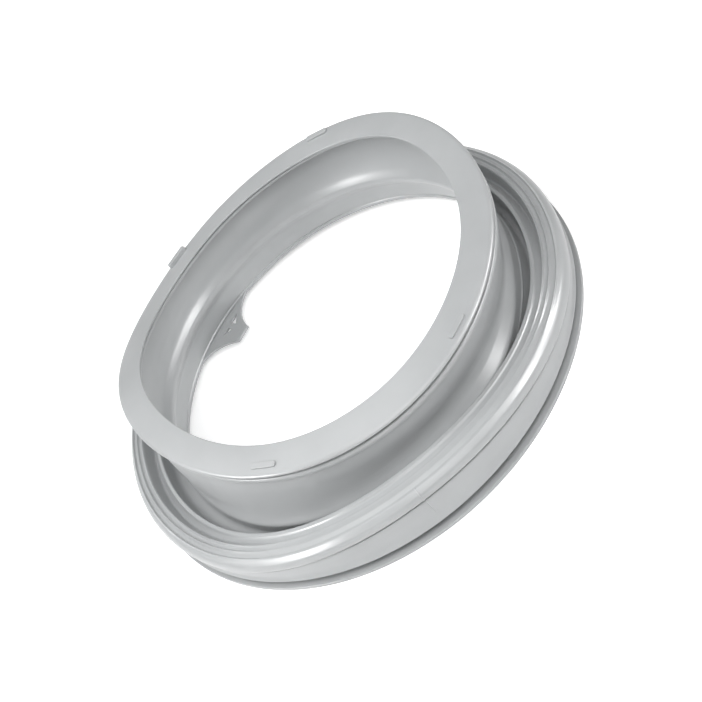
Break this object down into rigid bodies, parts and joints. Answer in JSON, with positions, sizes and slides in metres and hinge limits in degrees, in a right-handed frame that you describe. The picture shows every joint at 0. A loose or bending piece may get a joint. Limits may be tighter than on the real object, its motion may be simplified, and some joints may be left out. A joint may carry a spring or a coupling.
{
  "type": "washing machine door seal",
  "caption": "Round rubber door gasket with a flat front flange over a bead, a waisted neck, a ridged outer roll, a clamp groove and a rear flange, with a nozzle tab in the throat.",
  "frame": {"origin": "on the ring's axis, in the plane of the rear face, which it rests on", "axes": "+Z along the ring's axis from the rear flange to the front flange; -Y towards the moulded index line; +X to its right seen from the front of that line"},
  "size_m": [0.38, 0.38, 0.1044],
  "materials": {
    "rubber": "satin light grey moulded rubber"
  },
  "bodies": {
    "root": {"door_seal": "rubber"}
  },
  "joints": []
}
